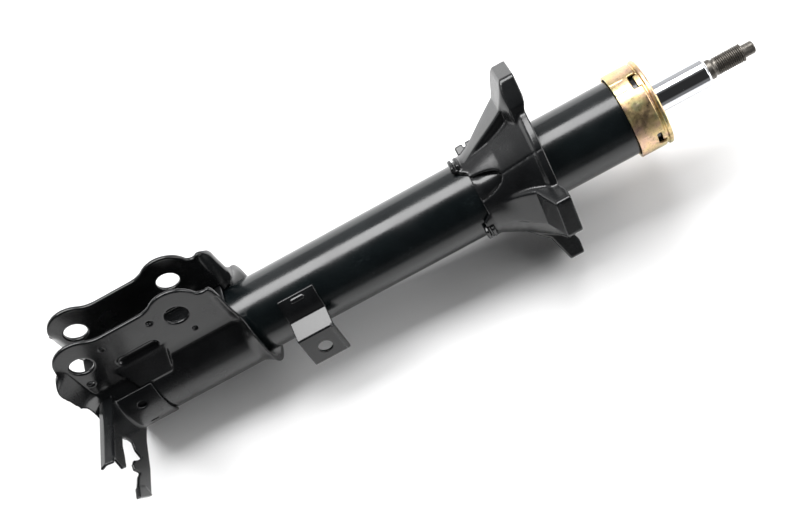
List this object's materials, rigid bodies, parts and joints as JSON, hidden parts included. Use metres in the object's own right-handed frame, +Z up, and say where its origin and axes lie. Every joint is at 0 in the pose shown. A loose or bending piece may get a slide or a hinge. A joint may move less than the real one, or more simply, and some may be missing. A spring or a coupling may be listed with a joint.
{
  "type": "strut shock absorber",
  "caption": "Twin-tube MacPherson strut damper with sliding chrome rod, clevis knuckle bracket, spring seat, hose and sensor brackets, and plated bump stop cap.",
  "frame": {"origin": "centre of the closed lower end of the reservoir tube", "axes": "+X along the strut axis towards the threaded stud, +Z up as the strut lies on its spring seat and knuckle bracket, +Y across"},
  "size_m": [0.4826, 0.1387, 0.1323],
  "materials": {
    "tube_paint": "semi-gloss black paint with a slight blue-green cast",
    "black_paint": "semi-gloss black electrocoat",
    "yellow_zinc": "yellow passivated zinc plate, iridescent, mottled",
    "hard_chrome": "polished hard chrome; the stud is dark phosphate",
    "bare_steel": "oiled bright steel",
    "sintered_iron": "sintered, steam treated",
    "bearing_bronze": "lined bearing bronze",
    "seal_rubber": "matt black",
    "band_plastic": "filled fluoropolymer"
  },
  "bodies": {
    "strut_body": {"outer_tube": "tube_paint", "base_cup": "black_paint", "knuckle_bracket": "black_paint", "bracket_closing_plate": "black_paint", "sensor_bracket": "black_paint", "hose_bracket": "black_paint", "spring_seat": "black_paint", "bump_stop_cap": "yellow_zinc", "rod_guide": "sintered_iron", "guide_bush": "bearing_bronze", "rod_seal": "seal_rubber", "guide_o_ring": "seal_rubber", "seal_washer": "bare_steel", "inner_cylinder": "bare_steel", "base_valve_body": "sintered_iron", "base_valve_discs": "bare_steel", "base_valve_pin": "bare_steel"},
    "slide_band": {"piston_band": "band_plastic"},
    "rod_assembly": {"piston_rod": "hard_chrome", "piston": "sintered_iron", "rebound_discs": "bare_steel", "piston_nut": "bare_steel", "check_spacer": "bare_steel", "check_washer": "bare_steel", "rebound_stop": "bare_steel", "rebound_bumper": "seal_rubber"},
    "intake_valve": {"intake_plate": "bare_steel", "intake_spring": "bare_steel"},
    "piston_check_valve": {"check_plate": "bare_steel"}
  },
  "joints": [
    {"name": "rod_slide", "type": "slide", "parent": "strut_body", "child": "slide_band", "axis": [1, 0, 0], "range_m": [0, 0.165]},
    {"name": "rod_spin", "type": "hinge", "parent": "slide_band", "child": "rod_assembly", "pos_m": [0.06, 0, 0], "axis": [1, 0, 0], "continuous": true},
    {"name": "intake_lift", "type": "slide", "parent": "strut_body", "child": "intake_valve", "axis": [1, 0, 0], "range_m": [0, 0.0012], "stiffness_N_per_m": 400, "springref_m": -0.002},
    {"name": "check_lift", "type": "slide", "parent": "rod_assembly", "child": "piston_check_valve", "axis": [1, 0, 0], "range_m": [0, 0.0011], "stiffness_N_per_m": 400, "springref_m": -0.002}
  ]
}
